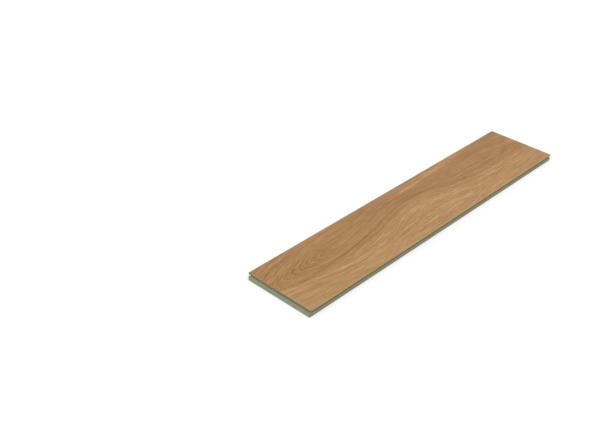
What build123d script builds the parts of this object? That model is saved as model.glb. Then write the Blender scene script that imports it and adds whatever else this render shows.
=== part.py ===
"""A herringbone laminate floor plank: a moisture-resistant fibreboard core under an oak decor layer.

Millimetres. +X runs along the plank, from its groove end to its tongue end. +Y runs across it, from
its groove side to its tongue side. Z is up from the underside, and the origin is on the underside,
below the middle of the decor face.
"""

import os

from build123d import *

# The face that shows once the plank is laid, from joint face to joint face
plank_length = 665.0
plank_width = 133.0
plank_thickness = 12.0

# Pressed decor and wear layer on top of the core
decor_thickness = 0.4

# Milled V-joint round the decor face, as wide as it is deep
bevel = 1.0

# Tongue, milled on one long side and one end
tongue_reach = 3.4
tongue_thickness = 2.6
tongue_top_depth = 2.7

# Lower lip with its locking ridge, milled under the groove of the other end
lip_reach = 2.5
ridge_width = 1.6
ridge_height = 1.4
lock_run = 0.5

# Plain lower jaw under the groove of the other long side, set back so that the joint closes at the face
jaw_setback = 0.2

# Chamfer along the lower edge of lip and jaw
lip_chamfer = 0.3

# Gap between a tongue and the groove that takes it
joint_clearance = 0.1

# Levels of the joint, measured up from the underside
joint_top = plank_thickness - bevel
tongue_top = plank_thickness - tongue_top_depth
tongue_bottom = tongue_top - tongue_thickness
tongue_middle = (tongue_top + tongue_bottom) / 2
groove_top = tongue_top + joint_clearance
groove_floor = tongue_bottom - joint_clearance
ridge_top = groove_floor + ridge_height
pocket_roof = ridge_top + joint_clearance

# Reaches of the joint, measured out from the joint face
tongue_flat = tongue_reach - tongue_thickness / 2
groove_depth = tongue_reach + joint_clearance
ridge_start = lip_reach - ridge_width
pocket_start = ridge_start - joint_clearance
pocket_depth = lip_reach + joint_clearance

# Lower jaws of the two grooves, each as reaches and levels from the floor of the groove to the underside
lipped_jaw = [
    (ridge_start - lock_run, groove_floor),
    (ridge_start, ridge_top),
    (lip_reach - lip_chamfer, ridge_top),
    (lip_reach, ridge_top - lip_chamfer),
    (lip_reach, lip_chamfer),
    (lip_reach - lip_chamfer, 0),
]
plain_jaw = [
    (-jaw_setback, groove_floor),
    (-jaw_setback, lip_chamfer),
    (-jaw_setback - lip_chamfer, 0),
]

# Planes across the plank, in which the groove is at the low side and the tongue at the high side
end_plane = Plane.XZ
side_plane = Plane.YZ


def joint_section(span, lower_jaw):
    """Section between two joint faces, with the groove over its lower jaw at the low side."""

    def groove(out, height):
        return (-span / 2 - out, height)

    def tongue(out, height):
        return (span / 2 + out, height)

    with BuildSketch() as section:
        with BuildLine():
            Polyline(
                tongue(0, tongue_top),
                tongue(0, joint_top),
                tongue(-bevel, plank_thickness),
                groove(-bevel, plank_thickness),
                groove(0, joint_top),
                groove(0, groove_top),
                groove(-tongue_flat, groove_top),
            )
            ThreePointArc(
                groove(-tongue_flat, groove_top),
                groove(-groove_depth, tongue_middle),
                groove(-tongue_flat, groove_floor),
            )
            Polyline(
                groove(-tongue_flat, groove_floor),
                *[groove(out, height) for out, height in lower_jaw],
                tongue(-pocket_depth, 0),
                tongue(-pocket_depth, pocket_roof),
                tongue(-pocket_start, pocket_roof),
                tongue(lock_run - pocket_start, tongue_bottom),
                tongue(tongue_flat, tongue_bottom),
            )
            ThreePointArc(
                tongue(tongue_flat, tongue_bottom),
                tongue(tongue_reach, tongue_middle),
                tongue(tongue_flat, tongue_top),
            )
            Line(tongue(tongue_flat, tongue_top), tongue(0, tongue_top))
        make_face()
    return section.sketch


def milled_board(section_plane, span, run, lower_jaw):
    """Board with one pair of edges milled, long enough along the run to cover the other pair's joints."""
    half_run = run / 2 + lip_reach + tongue_reach
    return extrude(section_plane * joint_section(span, lower_jaw), half_run, both=True)


# Milling both pairs of edges leaves what the two boards share, with the corners cut as the cutters leave them.
# The crumb of tongue that comes loose where it runs out over the ridge falls away, and the board stays.
milled_ends = milled_board(end_plane, plank_length, plank_width, lipped_jaw)
milled_sides = milled_board(side_plane, plank_width, plank_length, plain_jaw)
plank = (milled_ends & milled_sides).solids().sort_by(SortBy.VOLUME)[-1]

# The decor layer is the top of the board, and it shares its bonded face with the core
bond_plane = Plane.XY.offset(plank_thickness - decor_thickness)
decor_layer = split(plank, bisect_by=bond_plane, keep=Keep.TOP)
hdf_core = split(plank, bisect_by=bond_plane, keep=Keep.BOTTOM)

os.makedirs("parts", exist_ok=True)
for node, shape in {"hdf_core": hdf_core, "decor_layer": decor_layer}.items():
    export_step(shape, f"parts/{node}.step")
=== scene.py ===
"""Looks of a herringbone laminate plank: an embossed oak decor layer on a milled green fibreboard core.

The classes hold their sizes in millimetres. Along and across are measured from the corner of the
decor face where the groove end meets the groove side. Meshes and lamps go to Blender in metres.
"""

import logging
import math
from dataclasses import dataclass
from enum import Enum
from typing import Any, Union

import bpy
import numpy as np
from mathutils import Matrix, Vector


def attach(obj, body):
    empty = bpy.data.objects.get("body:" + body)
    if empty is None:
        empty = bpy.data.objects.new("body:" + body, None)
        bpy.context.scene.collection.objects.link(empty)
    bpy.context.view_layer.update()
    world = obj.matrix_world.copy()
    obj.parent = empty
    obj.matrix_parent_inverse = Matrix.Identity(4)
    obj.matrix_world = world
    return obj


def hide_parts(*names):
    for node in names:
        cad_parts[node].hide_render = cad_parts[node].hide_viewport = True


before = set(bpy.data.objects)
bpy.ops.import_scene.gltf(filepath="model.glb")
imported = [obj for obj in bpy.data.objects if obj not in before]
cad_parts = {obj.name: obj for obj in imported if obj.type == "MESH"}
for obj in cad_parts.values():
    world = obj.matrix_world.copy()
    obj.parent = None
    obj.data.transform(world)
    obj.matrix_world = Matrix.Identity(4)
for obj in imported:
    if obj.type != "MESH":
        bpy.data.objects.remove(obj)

Number = Union[int, float]
Colour = tuple[float, float, float, float]
Span = tuple[float, float]
Stops = list[tuple[float, Colour]]
Settings = dict[str, Any]
Sockets = dict[Union[str, int], Any]

LOG = logging.getLogger("plank")
MM = 0.001
BODY = "root"
PORE_ATTRIBUTE = "pore"
NOISE_MEAN = 0.5
WHITE: Colour = (1.0, 1.0, 1.0, 1.0)


class Node(Enum):
    """The plank's pieces, by the names of their solids."""

    CORE = "hdf_core"
    DECOR = "decor_layer"


class Slot(Enum):
    """The finishes that the pieces take, by the names of their material slots."""

    CORE = "green_fibreboard"
    DECOR = "oak_decor"


class Operation(Enum):
    """What a Math node works out."""

    ADD = "ADD"
    SUBTRACT = "SUBTRACT"
    MULTIPLY = "MULTIPLY"
    DIVIDE = "DIVIDE"
    POWER = "POWER"
    MAXIMUM = "MAXIMUM"
    ABSOLUTE = "ABSOLUTE"
    SINE = "SINE"
    FRACTION = "FRACT"


class Ray(Enum):
    """The rays that show the background: straight, mirrored and through glass."""

    CAMERA = "Is Camera Ray"
    GLOSSY = "Is Glossy Ray"
    TRANSMISSION = "Is Transmission Ray"


@dataclass(frozen=True)
class PlankSize:
    """The sizes that the plank's pieces and finishes share. Levels are measured up from the underside."""

    length: float = 665.0
    width: float = 133.0
    thickness: float = 12.0
    decor_thickness: float = 0.4
    bevel: float = 1.0
    groove_floor: float = 6.6
    groove_roof: float = 9.4

    @property
    def bond(self) -> float:
        """Gives the level at which the decor layer is pressed onto the core."""
        return self.thickness - self.decor_thickness

    @property
    def joint_top(self) -> float:
        """Gives the level at which the bevel meets the joint face."""
        return self.thickness - self.bevel


PLANK = PlankSize()


def paint(red: int, green: int, blue: int) -> Colour:
    """Turns a screen colour into the linear one that a shader takes.

    Args:
        red, green, blue: The colour as it shows on a screen, each from 0 to 255.

    Returns:
        The linear colour, with an alpha of 1.
    """
    shares = [part / 255 for part in (red, green, blue)]
    linear = [s / 12.92 if s <= 0.04045 else ((s + 0.055) / 1.055) ** 2.4 for s in shares]
    return (linear[0], linear[1], linear[2], 1.0)


class Value:
    """A number that changes over a surface: arithmetic on it adds Math nodes."""

    def __init__(self, bench: "Bench", socket: bpy.types.NodeSocket) -> None:
        """Keeps the bench that adds nodes and the socket that gives the number."""
        self.bench = bench
        self.socket = socket

    def maths(self, operation: Operation, *others: Any) -> "Value":
        """Adds a Math node that starts with this value and goes on with the others."""
        sockets = dict(enumerate((self, *others)))
        return self.bench.value("ShaderNodeMath", {"operation": operation.value}, sockets)

    def after(self, operation: Operation, first: Number) -> "Value":
        """Adds a Math node that starts with a number and ends with this value."""
        settings = {"operation": operation.value}
        return self.bench.value("ShaderNodeMath", settings, {0: first, 1: self})

    def __add__(self, other: Any) -> "Value":
        """Gives the sum."""
        return self.maths(Operation.ADD, other)

    def __radd__(self, other: Number) -> "Value":
        """Gives the sum with a number in front."""
        return self.after(Operation.ADD, other)

    def __sub__(self, other: Any) -> "Value":
        """Gives the difference."""
        return self.maths(Operation.SUBTRACT, other)

    def __rsub__(self, other: Number) -> "Value":
        """Gives the difference from a number in front."""
        return self.after(Operation.SUBTRACT, other)

    def __mul__(self, other: Any) -> "Value":
        """Gives the product."""
        return self.maths(Operation.MULTIPLY, other)

    def __rmul__(self, other: Number) -> "Value":
        """Gives the product with a number in front."""
        return self.after(Operation.MULTIPLY, other)

    def __truediv__(self, other: Any) -> "Value":
        """Gives the quotient."""
        return self.maths(Operation.DIVIDE, other)

    def __rtruediv__(self, other: Number) -> "Value":
        """Gives the quotient of a number in front by this value."""
        return self.after(Operation.DIVIDE, other)

    def __pow__(self, other: Any) -> "Value":
        """Gives the power."""
        return self.maths(Operation.POWER, other)

    def sine(self) -> "Value":
        """Gives the sine of an angle in radians."""
        return self.maths(Operation.SINE)

    def fraction(self) -> "Value":
        """Gives what is left above the whole number."""
        return self.maths(Operation.FRACTION)

    def size(self) -> "Value":
        """Gives the number without its sign."""
        return self.maths(Operation.ABSOLUTE)

    def step(self, low: Number, high: Number) -> "Value":
        """Rises smoothly from 0 to 1 between two levels, and stays there beyond them.

        Args:
            low: The level at which the step is 0.
            high: The level at which the step is 1.

        Returns:
            The step, from 0 to 1.
        """
        settings = {"interpolation_type": "SMOOTHSTEP"}
        sockets = {"Value": self, "From Min": low, "From Max": high}
        return self.bench.value("ShaderNodeMapRange", settings, sockets)

    def above(self, level: Number, soft: Number) -> "Value":
        """Gives 1 above a level and 0 below it, with a soft change on both sides of the level."""
        return self.step(level - soft, level + soft)


Field = Union[Value, np.ndarray]


def sine(angle: Field) -> Field:
    """Gives the sine of a shader value or of an array, in radians."""
    return angle.sine() if isinstance(angle, Value) else np.sin(angle)


def bump(offset: Field) -> Field:
    """Gives a smooth hump, which is 1 at an offset of 0, a quarter at 1, and fades beyond."""
    return (offset * offset + 1.0) ** -2.0


def swell(offset: Field) -> Field:
    """Gives a smooth step from 0 to 1, which is a half at an offset of 0."""
    return offset / (offset * offset + 1.0) ** 0.5 * 0.5 + 0.5


class Bench:
    """A node tree that starts empty, and the one way in which its nodes are made."""

    def __init__(self, tree: bpy.types.NodeTree) -> None:
        """Empties the tree and keeps it."""
        self.tree = tree
        self.tree.nodes.clear()

    def node(
        self, kind: str, settings: Settings | None = None, sockets: Sockets | None = None
    ) -> bpy.types.Node:
        """Adds one node.

        Args:
            kind: The node's type.
            settings: Its own settings, and the stops of a colour ramp. They are set first.
            sockets: Its inputs by name or number, each a value, a plain number or a colour.

        Returns:
            The new node.
        """
        node = self.tree.nodes.new(kind)
        for name, setting in (settings or {}).items():
            if name == "stops":
                self.set_stops(node.color_ramp, setting)
            else:
                setattr(node, name, setting)
        for name, given in (sockets or {}).items():
            if isinstance(given, Value):
                self.tree.links.new(given.socket, node.inputs[name])
            else:
                node.inputs[name].default_value = given
        return node

    @staticmethod
    def set_stops(ramp: bpy.types.ColorRamp, stops: Stops) -> None:
        """Gives a ramp these stops and no others.

        Args:
            ramp: The ramp of a Color Ramp node.
            stops: The place and the colour of each stop, in order.
        """
        while len(ramp.elements) > 1:
            ramp.elements.remove(ramp.elements[-1])
        ramp.elements[0].position, ramp.elements[0].color = stops[0]
        for position, colour in stops[1:]:
            ramp.elements.new(position).color = colour

    def value(
        self,
        kind: str,
        settings: Settings | None = None,
        sockets: Sockets | None = None,
        output: Union[int, str] = 0,
    ) -> Value:
        """Adds one node and gives one of its outputs, by number or name."""
        return Value(self, self.node(kind, settings, sockets).outputs[output])

    def split(self, vector: Value) -> tuple[Value, Value, Value]:
        """Takes a vector apart into its three numbers."""
        outputs = self.node("ShaderNodeSeparateXYZ", sockets={0: vector}).outputs
        return Value(self, outputs[0]), Value(self, outputs[1]), Value(self, outputs[2])

    def millimetres(self) -> tuple[Value, Value, Value]:
        """Gives the place on the plank in millimetres, in the plank's own frame."""
        x, y, z = self.split(self.value("ShaderNodeTexCoord", output="Object"))
        return x / MM, y / MM, z / MM

    def noise(self, x: Any, y: Any, z: Any, detail: float, roughness: float) -> Value:
        """Adds smooth noise whose cells are about one unit across.

        Args:
            x, y, z: The place in the noise.
            detail: How many finer layers are added.
            roughness: How strong each finer layer is.

        Returns:
            The noise, from 0 to 1 with a mean of a half.
        """
        place = self.value("ShaderNodeCombineXYZ", sockets={0: x, 1: y, 2: z})
        sockets = {"Vector": place, "Scale": 1.0, "Detail": detail, "Roughness": roughness}
        return self.value("ShaderNodeTexNoise", {"noise_dimensions": "3D"}, sockets)

    def blend(self, low: Any, high: Any, share: Value) -> Value:
        """Mixes two colours: the low one shows where the share is 0, and the high one where it is 1."""
        settings = {"data_type": "RGBA", "clamp_factor": True}
        return self.value("ShaderNodeMix", settings, {0: share, 6: low, 7: high}, output=2)

    def ramp(self, share: Value, stops: Stops) -> Value:
        """Turns a number from 0 to 1 into a colour, through stops in order of their places."""
        return self.value("ShaderNodeValToRGB", {"stops": stops}, {"Fac": share})

    def relief(self, height: Value, depth: float, strength: float) -> Value:
        """Gives a normal roughened by a height, of which 1 stands out by the depth in millimetres."""
        sockets = {"Strength": strength, "Distance": depth * MM, "Height": height}
        return self.value("ShaderNodeBump", sockets=sockets)

    def in_view(self) -> Value:
        """Tells the rays that show the background from those that only carry light.

        Returns:
            1 for a ray that shows the background and 0 for any other.
        """
        path = self.node("ShaderNodeLightPath").outputs
        camera, glossy, transmission = [Value(self, path[ray.value]) for ray in Ray]
        return camera.maths(Operation.MAXIMUM, glossy).maths(Operation.MAXIMUM, transmission)

    def surface(self, sockets: Sockets) -> None:
        """Ends a material in one Principled shader with these inputs."""
        shader = self.value("ShaderNodeBsdfPrincipled", sockets=sockets)
        self.node("ShaderNodeOutputMaterial", sockets={"Surface": shader})


def new_material(name: str) -> tuple[bpy.types.Material, Bench]:
    """Makes an empty material.

    Args:
        name: The material's name.

    Returns:
        The material and the bench for its nodes.
    """
    material = bpy.data.materials.new(name)
    material.use_nodes = True
    return material, Bench(material.node_tree)


def add_object(name: str, data: bpy.types.ID) -> bpy.types.Object:
    """Puts a mesh, a light or a camera into the scene.

    Args:
        name: The object's name.
        data: What the object holds.

    Returns:
        The new object.
    """
    new_object = bpy.data.objects.new(name, data)
    bpy.context.scene.collection.objects.link(new_object)
    return new_object


def near_joints(place: Value, span: float, depth: float, soft: float) -> Value:
    """Gives 1 near two opposite joint faces, from a depth inside them outwards, and 0 between them."""
    return place.size().above(span / 2 - depth, soft)


@dataclass(frozen=True)
class Cells:
    """Smooth noise in drawn-out cells. With two sizes it is flat, and the seed picks its pattern."""

    sizes: tuple[float, ...]
    seed: float = 0.0
    detail: float = 2.0
    roughness: float = 0.5

    def share(self, bench: Bench, *places: Value) -> Value:
        """Gives the noise at a place.

        Args:
            bench: The bench that adds nodes.
            places: The place along each direction that has a size.

        Returns:
            The noise, from 0 to 1 with a mean of a half.
        """
        scaled = [place / size for place, size in zip(places, self.sizes)]
        x, y, z = (*scaled, self.seed)[:3]
        return bench.noise(x, y, z, self.detail, self.roughness)


@dataclass(frozen=True)
class OakFigure:
    """The figure of a flat-sawn oak board.

    The ring lines run along the board on both sides of the heart, and below the heart's edge the grain
    is straight. Towards both ends they close into arches. The ease softens where these set in, the
    power rounds their shoulders and the point rounds their tips. Near the middle the lines rise over a
    hill, and two slanting waves make them waver. The same sums serve the print and the embossing, so
    that the two lie in register.
    """

    heart: float = 78.0
    heart_edge: float = 47.0
    heart_fade: float = 6.0
    hill_at: float = 338.0
    hill_reach: float = 175.0
    hill_rise: float = 37.0
    hill_lean: float = 1.8
    near_arches_end: float = 142.0
    far_arches_start: float = 560.0
    near_slope: float = 0.27
    far_slope: float = 0.18
    arch_ease: float = 18.0
    arch_power: float = 1.5
    arch_lean: float = 0.1
    arch_point: float = 1.5
    slow_wave: Span = (61.0, 23.0)
    quick_wave: Span = (24.0, -9.0)
    quick_share: float = 0.5

    def level(self, along: Field, across: Field) -> Field:
        """Gives the place across the board before the hill pushed the lines up.

        Args:
            along: The place along the board.
            across: The place across the board.

        Returns:
            The place across, with the lines of the hill laid flat.
        """
        share = (across / PLANK.width) ** self.hill_lean
        lift = share * (1.0 - share) * 4.0
        return across - lift * bump((along - self.hill_at) / self.hill_reach) * self.hill_rise

    def soft_rise(self, distance: Field) -> Field:
        """Gives a distance where it is positive and 0 where it is negative, with a soft bend between."""
        return ((distance * distance + self.arch_ease**2) ** 0.5 + distance) * 0.5

    def heart_share(self, level: Field) -> Field:
        """Gives how far a place lies inside the heart: 1 within it and 0 in the straight grain beside it."""
        return swell((level - self.heart_edge) / self.heart_fade)

    @staticmethod
    def wave(along: Field, across: Field, lengths: Span) -> Field:
        """Gives a slanting wave, from its lengths along and across the board."""
        return sine(along / lengths[0] + across / lengths[1])

    def radius(self, along: Field, across: Field) -> Field:
        """Gives the distance from the pith, whose level lines are the ring lines of the print.

        Args:
            along: The place along the board.
            across: The place across the board.

        Returns:
            The distance from the pith.
        """
        straight = self.level(along, across) - self.heart
        rounded = (straight * straight + self.arch_point**2) ** 0.5
        from_heart = rounded - straight * self.arch_lean
        near = self.soft_rise(self.near_arches_end - along) * self.near_slope
        far = self.soft_rise(along - self.far_arches_start) * self.far_slope
        power = self.arch_power
        arched = (from_heart**power + (near + far) ** power) ** (1.0 / power)
        slow = self.wave(along, across, self.slow_wave)
        return arched + slow + self.wave(along, across, self.quick_wave) * self.quick_share


@dataclass(frozen=True)
class GrainPlace:
    """How a place lies in the grain, which the marks of the print are drawn from.

    The level and the radius are those of the figure. The last three tell how far the place lies in the
    straight grain, on the hill and towards the far end, each from 0 to 1.
    """

    bench: Bench
    along: Value
    across: Value
    level: Value
    radius: Value
    straight: Value
    hill: Value
    far: Value


@dataclass(frozen=True)
class Streak:
    """A long streak in the print, pale or dark, soft at its ends and edges."""

    along: float
    across: float
    slope: float
    half_length: float
    half_width: float
    strength: float

    def share(self, along: Value, across: Value) -> Value:
        """Gives how strongly the streak shows at a place.

        Args:
            along: The place along the board.
            across: The place across the board.

        Returns:
            What the streak adds to the tone there.
        """
        line = (along - self.along) * self.slope + self.across
        ends = bump((along - self.along) / self.half_length)
        return bump((across - line) / self.half_width) * ends * self.strength


PALE_STREAKS = (
    Streak(along=425.0, across=119.5, slope=0.052, half_length=120.0, half_width=4.2, strength=0.26),
    Streak(along=384.0, across=115.5, slope=0.03, half_length=45.0, half_width=2.6, strength=0.26),
    Streak(along=480.0, across=126.5, slope=0.01, half_length=90.0, half_width=2.0, strength=0.20),
    Streak(along=62.0, across=123.0, slope=0.01, half_length=85.0, half_width=2.2, strength=0.24),
    Streak(along=318.0, across=60.5, slope=0.0, half_length=44.0, half_width=1.5, strength=0.12),
    Streak(along=440.0, across=50.0, slope=-0.085, half_length=66.0, half_width=1.8, strength=0.28),
    Streak(along=570.0, across=39.5, slope=-0.06, half_length=44.0, half_width=1.8, strength=0.22),
    Streak(along=238.0, across=16.0, slope=0.0, half_length=34.0, half_width=1.7, strength=0.14),
    Streak(along=426.0, across=27.0, slope=-0.11, half_length=34.0, half_width=1.7, strength=0.24),
    Streak(along=20.0, across=28.0, slope=0.0, half_length=40.0, half_width=2.0, strength=0.14),
    Streak(along=655.0, across=84.0, slope=0.0, half_length=12.0, half_width=7.0, strength=0.20),
    Streak(along=14.0, across=54.0, slope=-0.34, half_length=42.0, half_width=9.0, strength=0.22),
    Streak(along=16.0, across=104.0, slope=0.05, half_length=60.0, half_width=9.0, strength=0.12),
    Streak(along=170.0, across=114.0, slope=0.02, half_length=70.0, half_width=9.0, strength=0.11),
    Streak(along=205.0, across=76.0, slope=0.04, half_length=70.0, half_width=8.0, strength=0.08),
    Streak(along=275.0, across=22.0, slope=0.0, half_length=90.0, half_width=18.0, strength=0.07),
)
DARK_STREAKS = (
    Streak(along=343.0, across=99.0, slope=0.0, half_length=34.0, half_width=4.5, strength=-0.09),
    Streak(along=285.0, across=106.0, slope=-0.03, half_length=90.0, half_width=15.0, strength=-0.07),
    Streak(along=235.0, across=121.0, slope=0.0, half_length=45.0, half_width=5.0, strength=-0.06),
    Streak(along=540.0, across=108.0, slope=0.05, half_length=130.0, half_width=13.0, strength=-0.10),
    Streak(along=655.0, across=33.0, slope=0.0, half_length=40.0, half_width=11.0, strength=-0.11),
    Streak(along=366.0, across=54.0, slope=0.0, half_length=40.0, half_width=8.0, strength=-0.06),
)
# These two lie along the edge of the heart, and their place across is measured with the hill laid flat
HEART_LINES = (
    Streak(along=150.0, across=55.0, slope=0.0, half_length=140.0, half_width=2.4, strength=-0.20),
    Streak(along=335.0, across=51.0, slope=0.0, half_length=95.0, half_width=1.4, strength=0.14),
)


@dataclass(frozen=True)
class GrainLayer:
    """One layer of marks in the print: noise drawn out along the ring lines.

    The seed picks the noise, and the fold is how fast it changes across the heart. Edges sharpen the
    noise into marks. Marks as dense as the rest leave the tone as it is. The strength is what they
    add to the tone, and it changes in the straight grain, on the hill and at the far end.
    """

    length: float
    width: float
    seed: float
    strength: float
    in_straight: float = 0.0
    on_hill: float = 0.0
    far_along: float = 0.0
    rest: float = 0.0
    fold: float = 0.05
    detail: float = 1.0
    roughness: float = 0.5
    edges: Span | None = None

    def share(self, place: GrainPlace) -> Value:
        """Gives how dense the marks are at a place.

        Args:
            place: The place on the board.

        Returns:
            The density there, less the one that leaves the tone as it is.
        """
        noise = place.bench.noise(
            place.along / self.length + self.seed,
            place.radius / self.width,
            place.level * self.fold + self.seed,
            self.detail,
            self.roughness,
        )
        marks = noise if self.edges is None else noise.step(*self.edges)
        return marks - self.rest if self.rest else marks

    def weight(self, place: GrainPlace) -> Union[Value, float]:
        """Gives how much the marks add to the tone at a place.

        Args:
            place: The place on the board.

        Returns:
            The marks' strength there.
        """
        weight: Union[Value, float] = self.strength
        for share, change in (
            (place.straight, self.in_straight),
            (place.hill, self.on_hill),
            (place.far, self.far_along),
        ):
            weight = share * change + weight if change else weight
        return weight


class Grain(Enum):
    """The layers of marks in the print, from broad tones to fine pores."""

    BROAD = GrainLayer(
        length=240.0, width=15.0, seed=0.0, strength=0.30, rest=0.5, fold=0.025, detail=2.0
    )
    STREAKS = GrainLayer(
        length=170.0, width=4.6, seed=3.0, strength=0.34, in_straight=-0.09,
        rest=0.5, fold=0.025, detail=3.0, roughness=0.55,
    )
    LINES = GrainLayer(
        length=110.0, width=1.7, seed=5.0, strength=0.145, far_along=0.05, rest=0.5, edges=(0.36, 0.64)
    )
    PALE_LINES = GrainLayer(
        length=50.0, width=1.1, seed=7.0, strength=0.11, in_straight=0.20, on_hill=0.10,
        detail=0.5, edges=(0.60, 0.68),
    )
    DARK_LINES = GrainLayer(
        length=100.0, width=2.2, seed=13.0, strength=-0.20, in_straight=0.06, edges=(0.60, 0.72)
    )
    TICKS = GrainLayer(
        length=13.0, width=0.75, seed=21.0, strength=-0.13, in_straight=-0.05,
        detail=0.0, edges=(0.62, 0.72),
    )
    DASHES = GrainLayer(
        length=7.0, width=0.32, seed=31.0, strength=-0.22, fold=0.1, detail=0.0, edges=(0.66, 0.72)
    )


@dataclass(frozen=True)
class RingBand:
    """A dark band in each ring, which sets in and stops at shares of the ring's width."""

    pitch: float
    rise: Span
    fall: Span
    rest: float
    strength: float

    def share(self, grown: Value) -> Value:
        """Gives how dark the band is.

        Args:
            grown: The distance from the pith.

        Returns:
            The darkness there, less its mean.
        """
        ring = (grown / self.pitch).fraction()
        band = ring.step(*self.rise) * (1.0 - ring.step(*self.fall))
        return (band - self.rest) * self.strength


@dataclass(frozen=True)
class Rings:
    """The year rings, whose dark late wood is strongest in the arches at both ends.

    The broad tones and a wobble crowd and spread the rings. At the near end they open into the
    straight grain like a mouth, and towards the upper side they fade.
    """

    late_wood: RingBand = RingBand(4.4, rise=(0.40, 0.80), fall=(0.84, 0.98), rest=0.28, strength=1.0)
    fine_wood: RingBand = RingBand(4.4 / 2.7, rise=(0.3, 0.8), fall=(0.85, 1.0), rest=0.3, strength=0.7)
    wobble: Cells = Cells((11.0, 6.0), seed=5.0, detail=3.0, roughness=0.6)
    wobble_reach: float = 6.0
    broad_reach: float = 9.0
    patches: Cells = Cells((30.0, 12.0), seed=2.0, detail=1.0)
    patch_edges: Span = (0.30, 0.65)
    patch_strength: float = 0.8
    least_patch: float = 0.35
    near_fade: Span = (60.0, 140.0)
    far_fade: Span = (520.0, 600.0)
    near_strength: float = 0.20
    far_strength: float = 0.10
    least_strength: float = 0.03
    mouth_length: float = 50.0
    mouth_width: float = 14.0
    upper_fade: Span = (104.0, 120.0)

    def shade(self, figure: OakFigure, place: GrainPlace, broad: Value) -> Value:
        """Gives the darkness of the rings.

        Args:
            figure: The figure that the rings follow.
            place: The place on the board.
            broad: The broad tones of the print.

        Returns:
            What the rings take from the tone.
        """
        bench, along, across = place.bench, place.along, place.across
        wobble = self.wobble.share(bench, along, across) - NOISE_MEAN
        grown = place.radius + broad * self.broad_reach + wobble * self.wobble_reach
        marks = self.late_wood.share(grown) + self.fine_wood.share(grown)
        near = (1.0 - along.step(*self.near_fade)) * self.near_strength
        far = along.step(*self.far_fade) * self.far_strength
        opened = place.level + bump(along / self.mouth_length) * self.mouth_width
        inside = figure.heart_share(opened) * (1.0 - place.level.step(*self.upper_fade))
        strength = (near + far) * inside + self.least_strength
        patches = self.patches.share(bench, along, across).step(*self.patch_edges)
        return marks * strength * (patches * self.patch_strength + self.least_patch)


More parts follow.
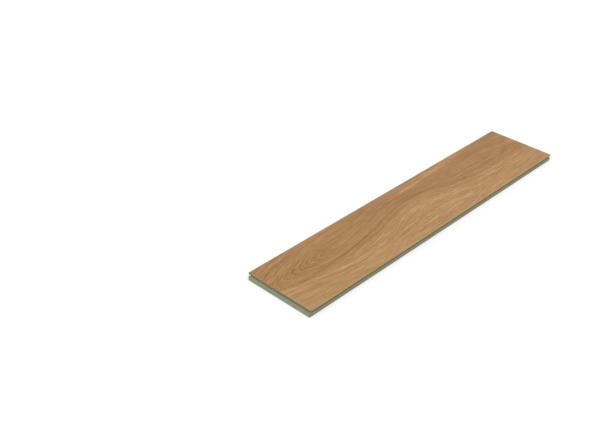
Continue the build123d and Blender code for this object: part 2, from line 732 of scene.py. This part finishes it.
@dataclass(frozen=True)
class OakDecor:
    """Printed oak under a clear satin wear layer.

    A tone of 0 is the deepest colour and a tone of 1 the palest. The rim is the cut edge of the layer,
    which is darker at the ends.
    """

    figure: OakFigure
    rings: Rings = Rings()
    deepest: Colour = paint(130, 88, 46)
    dark: Colour = paint(157, 115, 69)
    middle: Colour = paint(174, 132, 85)
    light: Colour = paint(187, 145, 97)
    palest: Colour = paint(210, 171, 124)
    rim: Colour = paint(194, 162, 126)
    end_rim: Colour = paint(160, 136, 104)
    rim_levels: Span = (11.7, 11.95)
    rim_share: float = 0.6
    rim_depth: float = 1.1
    rim_soft: float = 0.1
    fibre: Cells = Cells((26.0, 0.8), seed=4.0, detail=3.0, roughness=0.6)
    fibre_tone: float = 0.16
    fibre_depth: float = 0.1
    fibre_relief: float = 0.25
    fibre_roughness: float = 0.2
    pore_shade: float = 0.5
    pore_roughness: float = 0.15
    roughness: float = 0.5
    specular: float = 0.3
    base_tone: float = 0.461
    straight_tone: float = 0.15
    straight_far_tone: float = -0.02
    straight_far_fade: Span = (330.0, 600.0)
    upper_tone: float = -0.01
    upper_fade: Span = (85.0, 125.0)
    hill_reach: float = 110.0
    far_fade: Span = (380.0, 560.0)
    streak_body: float = 0.9

    def material(self) -> bpy.types.Material:
        """Makes the finish.

        Returns:
            The material of the decor layer.
        """
        material, bench = new_material(Slot.DECOR.value)
        x, y, z = bench.millimetres()
        along = x + PLANK.length / 2
        across = y + PLANK.width / 2
        pore = bench.value("ShaderNodeAttribute", {"attribute_name": PORE_ATTRIBUTE}, output="Fac")
        fibre = self.fibre.share(bench, along, across) - NOISE_MEAN
        tone = self.tone(self.place(bench, along, across)) + fibre * self.fibre_tone
        face = bench.blend(bench.ramp(tone, self.stops()), self.deepest, pore * self.pore_shade)
        at_ends = near_joints(x, PLANK.length, self.rim_depth, self.rim_soft)
        rim = bench.blend(self.rim, self.end_rim, at_ends)
        face_share = z.step(*self.rim_levels) * self.rim_share + (1.0 - self.rim_share)
        bench.surface(
            {
                "Base Color": bench.blend(rim, face, face_share),
                "Roughness": fibre * self.fibre_roughness + pore * self.pore_roughness + self.roughness,
                "Specular IOR Level": self.specular,
                "Normal": bench.relief(fibre, self.fibre_depth, self.fibre_relief),
            }
        )
        return material

    def stops(self) -> Stops:
        """Lists the colours of the print.

        Returns:
            The stops of its ramp, from the deepest tone to the palest.
        """
        return [
            (0.0, self.deepest),
            (0.3, self.dark),
            (0.5, self.middle),
            (0.7, self.light),
            (1.0, self.palest),
        ]

    def place(self, bench: Bench, along: Value, across: Value) -> GrainPlace:
        """Works out how a place lies in the grain.

        Args:
            bench: The bench that adds nodes.
            along: The place along the board.
            across: The place across the board.

        Returns:
            The place, for the marks of the print.
        """
        level = self.figure.level(along, across)
        straight = 1.0 - self.figure.heart_share(level)
        return GrainPlace(
            bench=bench,
            along=along,
            across=across,
            level=level,
            radius=self.figure.radius(along, across),
            straight=straight,
            hill=bump((along - self.figure.hill_at) / self.hill_reach) * straight,
            far=along.step(*self.far_fade),
        )

    def tone(self, place: GrainPlace) -> Value:
        """Works out how light the print is.

        Args:
            place: The place on the board.

        Returns:
            The tone, about a half in the mean, darker below it and lighter above.
        """
        shares = {grain: grain.value.share(place) for grain in Grain}
        far_tone = place.along.step(*self.straight_far_fade) * self.straight_far_tone
        tone = place.straight * (far_tone + self.straight_tone) + self.base_tone
        tone = tone + place.level.step(*self.upper_fade) * self.upper_tone
        for grain, share in shares.items():
            tone = tone + share * grain.value.weight(place)
        for line in HEART_LINES:
            tone = tone + line.share(place.along, place.level)
        tone = tone - self.rings.shade(self.figure, place, shares[Grain.BROAD])
        body = shares[Grain.LINES] + self.streak_body
        for streak in PALE_STREAKS + DARK_STREAKS:
            tone = tone + streak.share(place.along, place.across) * body
        return tone


@dataclass(frozen=True)
class GreenFibreboard:
    """Moisture-resistant fibreboard with milled joints, painted bevels and a paper backing.

    Soft and sharp are how far a change from one of these to the next reaches on both sides.
    """

    pale: Colour = paint(153, 161, 139)
    middle: Colour = paint(139, 146, 122)
    deep: Colour = paint(116, 124, 98)
    # Seal and painted shade: the joint faces above the groove floor are darkened olive, partly by an edge
    # seal and partly as painted shade.
    seal_and_shade: Colour = paint(153, 131, 88)
    # Painted light: the long groove takes a paler seal that offsets its shade.
    side_seal_and_painted_light: Colour = paint(182, 158, 112)
    # The seal and painted shade are darker on the joint faces of the ends.
    end_seal_and_shade: Colour = paint(122, 108, 76)
    # Painted light: the end grooves are paler, to offset their shade.
    end_groove_painted_light: Colour = paint(184, 190, 160)
    side_stain: Colour = paint(156, 136, 96)
    bevel_paint: Colour = paint(178, 146, 107)
    end_bevel_paint: Colour = paint(132, 114, 85)
    backing: Colour = paint(186, 168, 140)
    backing_fibre: Colour = paint(168, 148, 119)
    fibres: Cells = Cells((1.6, 1.6, 0.55), detail=4.0, roughness=0.65)
    fibre_tone: float = 0.9
    fibre_depth: float = 0.15
    fibre_relief: float = 0.35
    fibre_roughness: float = 0.2
    clumps: Cells = Cells((14.0, 14.0, 3.5))
    clump_tone: float = 0.7
    flecks: Cells = Cells((0.7, 0.7, 0.4), detail=1.0)
    fleck_edges: Span = (0.62, 0.74)
    fleck_share: float = 0.35
    stain_share: float = 0.42
    seal_and_shade_share: float = 0.75
    seal_and_shade_clumps: float = 0.5
    joint_band_depth: float = 4.5
    joint_band_soft: float = 0.5
    bevel_depth: float = 1.1
    soft: float = 0.1
    sharp: float = 0.05
    paper: Cells = Cells((5.0, 0.9), seed=2.0, detail=3.0, roughness=0.6)
    paper_edges: Span = (0.35, 0.7)
    paper_gloss: float = 0.15
    backing_top: float = 0.15
    backing_facing: float = -0.8
    roughness: float = 0.82
    specular: float = 0.2

    def material(self) -> bpy.types.Material:
        """Makes the finish.

        Returns:
            The material of the core.
        """
        material, bench = new_material(Slot.CORE.value)
        x, y, z = bench.millimetres()
        _, sideways, facing = bench.split(bench.value("ShaderNodeNewGeometry", output="Normal"))
        fibres = self.fibres.share(bench, x, y, z) - NOISE_MEAN
        clumps = self.clumps.share(bench, x, y, z)
        tone = fibres * self.fibre_tone + (clumps - NOISE_MEAN) * self.clump_tone + NOISE_MEAN
        board = bench.ramp(tone, [(0.0, self.deep), (0.5, self.middle), (1.0, self.pale)])
        flecks = self.flecks.share(bench, x, y, z).step(*self.fleck_edges)
        board = bench.blend(board, self.pale, flecks * self.fleck_share)
        board = bench.blend(board, self.side_stain, sideways * sideways * (clumps * self.stain_share))
        # Seal and painted shade on the joint faces, with painted light in the long and end grooves.
        board = bench.blend(board, self.seal_and_shade_colour(bench, x, y, z), self.sealed_and_shaded(x, y, z, clumps))
        board = bench.blend(board, self.bevel_colour(bench, x), z.above(PLANK.joint_top, self.sharp))
        paper = self.paper.share(bench, x, y).step(*self.paper_edges)
        backing = bench.blend(self.backing, self.backing_fibre, paper)
        underneath = self.underneath(z, facing)
        roughness = fibres * self.fibre_roughness + self.roughness
        bench.surface(
            {
                "Base Color": bench.blend(board, backing, underneath),
                "Roughness": roughness - underneath * self.paper_gloss,
                "Specular IOR Level": self.specular,
                "Normal": bench.relief(fibres, self.fibre_depth, self.fibre_relief),
            }
        )
        return material

    def sealed_and_shaded(self, x: Value, y: Value, z: Value, clumps: Value) -> Value:
        """Tells how much seal and painted shade there is on the milled joints.

        Args:
            x, y, z: The place on the plank.
            clumps: How the fibres crowd there.

        Returns:
            The share of seal and painted shade, which is 0 on the tongues and lips that stand out of the
            joint faces.
        """
        past_ends = near_joints(x, PLANK.length, -self.soft, self.sharp)
        past_sides = near_joints(y, PLANK.width, -self.soft, self.sharp)
        between_faces = (1.0 - past_ends) * (1.0 - past_sides)
        share = (clumps - NOISE_MEAN) * self.seal_and_shade_clumps + self.seal_and_shade_share
        return between_faces * z.above(PLANK.groove_floor, self.soft) * share

    def seal_and_shade_colour(self, bench: Bench, x: Value, y: Value, z: Value) -> Value:
        """Gives the colour of the seal and painted shade on the milled joints.

        Args:
            bench: The bench that adds nodes.
            x, y, z: The place on the plank.

        Returns:
            The colour: painted light makes it paler in the long groove and the end grooves, and it is darker
                on the joint faces of the ends.
        """
        past_groove = (y + PLANK.width / 2).above(self.joint_band_depth, self.joint_band_soft)
        # Painted light: the paler seal in the long groove offsets its shade.
        sides = bench.blend(self.side_seal_and_painted_light, self.seal_and_shade, past_groove)
        # Painted light in the end grooves, and the darker seal and painted shade on the end joint faces
        # above them.
        ends = bench.blend(self.end_groove_painted_light, self.end_seal_and_shade, z.above(PLANK.groove_roof, self.soft))
        return bench.blend(sides, ends, near_joints(x, PLANK.length, self.joint_band_depth, self.joint_band_soft))

    def bevel_colour(self, bench: Bench, x: Value) -> Value:
        """Gives the colour of the painted bevel, which is darker at the ends."""
        at_ends = near_joints(x, PLANK.length, self.bevel_depth, self.soft)
        return bench.blend(self.bevel_paint, self.end_bevel_paint, at_ends)

    def underneath(self, z: Value, facing: Value) -> Value:
        """Gives 1 on the underside, which faces down at the plank's foot, and 0 on the other faces."""
        upward = facing.above(self.backing_facing, self.soft)
        return (1.0 - upward) * (1.0 - z.above(self.backing_top, self.sharp))


@dataclass(frozen=True)
class Pores:
    """The open pores of oak, pressed into the wear layer as short grooves along the ring lines.

    The lines' slopes are measured over a nudge to both sides, and flattened where the lines turn.
    """

    figure: OakFigure
    count: int = 3800
    seed: int = 7
    shortest: float = 7.0
    longest: float = 30.0
    half_width: float = 0.5
    faintest: float = 0.35
    nudge: float = 0.5
    steepest: float = 0.25
    flattening: float = 0.05

    def depths(self, along: np.ndarray, across: np.ndarray) -> np.ndarray:
        """Works out how deep the pores press at each point of a grid.

        Args:
            along: The grid's places along the board.
            across: The grid's places across the board.

        Returns:
            The depth at each point, from 0 to 1, with a row for each place along the board.
        """
        draw = np.random.default_rng(self.seed)
        starts = draw.uniform(along[0], along[-1], self.count)
        lines = draw.uniform(across[0], across[-1], self.count)
        lengths = draw.uniform(self.shortest, self.longest, self.count)
        strengths = draw.uniform(self.faintest, 1.0, self.count)
        slopes = self.slopes(starts, lines)
        depth = np.zeros((len(along), len(across)))
        for start, line, length, strength, slope in zip(starts, lines, lengths, strengths, slopes):
            first, last = np.searchsorted(along, (start - length / 2, start + length / 2))
            reach = self.half_width + abs(slope) * length / 2
            low, high = np.searchsorted(across, (line - reach, line + reach))
            offset = along[first:last, None] - start
            aside = (across[None, low:high] - line - slope * offset) / self.half_width
            taper = 1.0 - (2.0 * offset / length) ** 2
            groove = np.clip(1.0 - aside**2, 0.0, None) * taper * strength
            block = depth[first:last, low:high]
            np.maximum(block, groove, out=block)
        return depth

    def slopes(self, along: np.ndarray, across: np.ndarray) -> np.ndarray:
        """Gives the slope of the ring lines, held to a gentle lean.

        Args:
            along: Places along the board.
            across: Places across the board.

        Returns:
            The slope of the ring line through each place.
        """
        radius, nudge = self.figure.radius, self.nudge
        run = radius(along + nudge, across) - radius(along - nudge, across)
        rise = radius(along, across + nudge) - radius(along, across - nudge)
        lean = -run * rise / (rise * rise + self.flattening)
        return np.clip(lean, -self.steepest, self.steepest)


@dataclass(frozen=True)
class DecorLayer:
    """The pressed oak layer: a thin slab with a bevelled rim and pores embossed in its face."""

    name: str = "decor_face"
    points_along: int = 241
    points_across: int = 317
    pore_depth: float = 0.09
    ridge_depth: float = 0.02
    ridge_pitch: float = 3.1
    plain_rim: float = 2.5

    def build(self, figure: OakFigure) -> bpy.types.Object:
        """Makes the embossed slab.

        Args:
            figure: The figure that the pores follow.

        Returns:
            The new object, in the plank's frame.
        """
        face, pores = self.emboss(figure)
        points, quads = self.shell(face)
        mesh = bpy.data.meshes.new(self.name)
        mesh.from_pydata((points * MM).tolist(), [], quads)
        mesh.validate()
        shade = np.zeros(len(points), np.float32)
        shade[: pores.size] = pores.ravel()
        mesh.attributes.new(PORE_ATTRIBUTE, "FLOAT", "POINT").data.foreach_set("value", shade)
        smooth = np.zeros(len(mesh.polygons), bool)
        smooth[: (self.points_along - 1) * (self.points_across - 1)] = True
        mesh.polygons.foreach_set("use_smooth", smooth)
        return add_object(self.name, mesh)

    def emboss(self, figure: OakFigure) -> tuple[np.ndarray, np.ndarray]:
        """Presses pores and fine ridges into the face, up to a plain rim.

        Args:
            figure: The figure that they follow.

        Returns:
            The points of the face, in rows along the board, and the pores' depth at each, from 0 to 1.
        """
        along = np.linspace(PLANK.bevel, PLANK.length - PLANK.bevel, self.points_along)
        across = np.linspace(PLANK.bevel, PLANK.width - PLANK.bevel, self.points_across)
        u, v = np.meshgrid(along, across, indexing="ij")
        inset = np.minimum(
            np.minimum(u - along[0], along[-1] - u),
            np.minimum(v - across[0], across[-1] - v),
        )
        fade = np.clip(inset / self.plain_rim, 0.0, 1.0)
        pores = Pores(figure).depths(along, across) * fade
        ridges = (np.sin(figure.radius(u, v) * 2 * math.pi / self.ridge_pitch) * 0.5 + 0.5) * fade
        heights = PLANK.thickness - pores * self.pore_depth - ridges * self.ridge_depth
        return np.stack([u - PLANK.length / 2, v - PLANK.width / 2, heights], axis=-1), pores

    @staticmethod
    def shell(face: np.ndarray) -> tuple[np.ndarray, list[list[int]]]:
        """Closes the face into a slab with a bevelled rim and a flat back.

        Args:
            face: The points of the face, in rows along the board.

        Returns:
            All the points, and the corners of each face of the slab.
        """
        rows, columns = face.shape[:2]
        index = np.arange(rows * columns).reshape(rows, columns)
        tiles = np.stack([index[:-1, :-1], index[1:, :-1], index[1:, 1:], index[:-1, 1:]], axis=-1)
        rim = np.concatenate([index[:-1, 0], index[-1, :-1], index[:0:-1, -1], index[0, :0:-1]])
        outer = face.reshape(-1, 3)[rim].copy()
        on_edge = np.isclose(np.abs(outer[:, :2]), np.abs(face[0, 0, :2]))
        outer[:, :2] += np.sign(outer[:, :2]) * on_edge * PLANK.decor_thickness
        outer[:, 2] = PLANK.bond
        below = np.arange(len(rim)) + rows * columns
        walls = np.stack([rim, below, np.roll(below, -1), np.roll(rim, -1)], axis=-1)
        quads = [*tiles.reshape(-1, 4).tolist(), *walls.tolist(), below[::-1].tolist()]
        return np.concatenate([face.reshape(-1, 3), outer]), quads

    def dress(self, piece: bpy.types.Object, finish: OakDecor) -> None:
        """Finishes the slab and puts it in the place of the plain one.

        Args:
            piece: The slab.
            finish: Its finish.
        """
        piece.data.materials.append(finish.material())
        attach(piece, BODY)
        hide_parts(Node.DECOR.value)


@dataclass(frozen=True)
class FibreboardCore:
    """The milled core, whose tongues, grooves and lips keep the shape of their solid."""

    finish: GreenFibreboard

    def dress(self) -> bpy.types.Object:
        """Gives the core its finish.

        Returns:
            The core's object.
        """
        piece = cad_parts[Node.CORE.value]
        piece.data.materials.clear()
        piece.data.materials.append(self.finish.material())
        return piece


def direction(azimuth: float, elevation: float) -> Vector:
    """Gives the direction at an angle round from +X and an angle up from level, in degrees."""
    turn, lift = math.radians(azimuth), math.radians(elevation)
    return Vector((math.cos(lift) * math.cos(turn), math.cos(lift) * math.sin(turn), math.sin(lift)))


@dataclass(frozen=True)
class Lamp:
    """A broad soft lamp, far enough away to light the plank and the floor evenly."""

    name: str
    azimuth: float
    elevation: float
    spread: float
    strength: float

    def place(self) -> bpy.types.Object:
        """Hangs the lamp.

        Returns:
            The lamp's object.
        """
        light = bpy.data.lights.new(self.name, "SUN")
        light.angle = math.radians(self.spread)
        light.energy = self.strength
        lamp = add_object(self.name, light)
        lamp.location = direction(self.azimuth, self.elevation)
        lamp.rotation_euler = lamp.location.to_track_quat("Z", "Y").to_euler()
        return lamp


@dataclass(frozen=True)
class Studio:
    """A white floor under soft light, and the camera. Its lengths are in metres.

    The sky and the floor show white, but they light the plank with the strengths given here.
    """

    floor_name: str = "studio_floor"
    floor_side: float = 16.0
    floor_level: float = -0.0002
    floor_glow: float = 0.06
    floor_bounce: Colour = (0.8, 0.8, 0.8, 1.0)
    sky: float = 0.55
    lamps: tuple[Lamp, ...] = (
        Lamp("key_lamp", azimuth=200.0, elevation=52.0, spread=50.0, strength=1.75),
    )
    camera_place: tuple[float, float, float] = (-1.136344, -0.798091, 0.890606)
    camera_yaw: float = 43.288
    camera_pitch: float = 32.992
    camera_roll: float = 1.0698
    sensor: float = 36.0
    focal_length: float = 56.685

    def backdrop(self) -> None:
        """Sets a sky that lights evenly and shows white."""
        world = bpy.data.worlds.new("studio")
        world.use_nodes = True
        bench = Bench(world.node_tree)
        strength = bench.in_view() * (1.0 - self.sky) + self.sky
        light = bench.value("ShaderNodeBackground", sockets={"Color": WHITE, "Strength": strength})
        bench.node("ShaderNodeOutputWorld", sockets={"Surface": light})
        bpy.context.scene.world = world

    def floor_material(self) -> bpy.types.Material:
        """Makes the floor's finish, which shows white and lights the plank like pale paper.

        Returns:
            The material of the floor.
        """
        material, bench = new_material(self.floor_name)
        unseen = bench.value("ShaderNodeBsdfDiffuse", sockets={"Color": self.floor_bounce})
        shown = bench.value(
            "ShaderNodeBsdfPrincipled",
            sockets={
                "Base Color": WHITE,
                "Roughness": 1.0,
                "Specular IOR Level": 0.0,
                "Emission Color": WHITE,
                "Emission Strength": self.floor_glow,
            },
        )
        both = bench.value("ShaderNodeMixShader", sockets={0: bench.in_view(), 1: unseen, 2: shown})
        bench.node("ShaderNodeOutputMaterial", sockets={"Surface": both})
        return material

    def floor(self) -> bpy.types.Object:
        """Lays the floor, which keeps the plank's shadow.

        Returns:
            The floor's object.
        """
        half = self.floor_side / 2
        corners = [(-half, -half), (half, -half), (half, half), (-half, half)]
        mesh = bpy.data.meshes.new(self.floor_name)
        mesh.from_pydata([(x, y, self.floor_level) for x, y in corners], [], [[0, 1, 2, 3]])
        mesh.materials.append(self.floor_material())
        floor = add_object(self.floor_name, mesh)
        return floor

    def camera(self) -> bpy.types.Object:
        """Sets the camera where the photograph was taken from.

        Returns:
            The camera's object.
        """
        ahead = direction(self.camera_yaw, -self.camera_pitch)
        right = ahead.cross(Vector((0, 0, 1))).normalized()
        axes = Matrix((right, right.cross(ahead), -ahead)).transposed()
        roll = Matrix.Rotation(math.radians(self.camera_roll), 3, "Z")
        lens = bpy.data.cameras.new("camera")
        lens.sensor_fit = "HORIZONTAL"
        lens.sensor_width = self.sensor
        lens.lens = self.focal_length
        camera = add_object("camera", lens)
        camera.matrix_world = Matrix.Translation(self.camera_place) @ (axes @ roll).to_4x4()
        bpy.context.scene.camera = camera
        return camera

    def set_up(self) -> None:
        """Builds the whole studio."""
        bpy.context.scene.view_settings.view_transform = "Standard"
        self.backdrop()
        self.floor()
        self.camera()
        for lamp in self.lamps:
            lamp.place()


def main() -> None:
    """Builds the plank's looks in order and reports each piece."""
    logging.basicConfig(level=logging.INFO, format="%(name)s: %(message)s")
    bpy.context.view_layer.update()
    studio = Studio()
    studio.set_up()
    LOG.info("studio with %d lamp", len(studio.lamps))
    figure = OakFigure()
    layer = DecorLayer()
    face = layer.build(figure)
    layer.dress(face, OakDecor(figure))
    LOG.info("%s: %d faces", face.name, len(face.data.polygons))
    core = FibreboardCore(GreenFibreboard()).dress()
    LOG.info("%s: milled edges dressed", core.name)


if __name__ == "__main__":
    main()
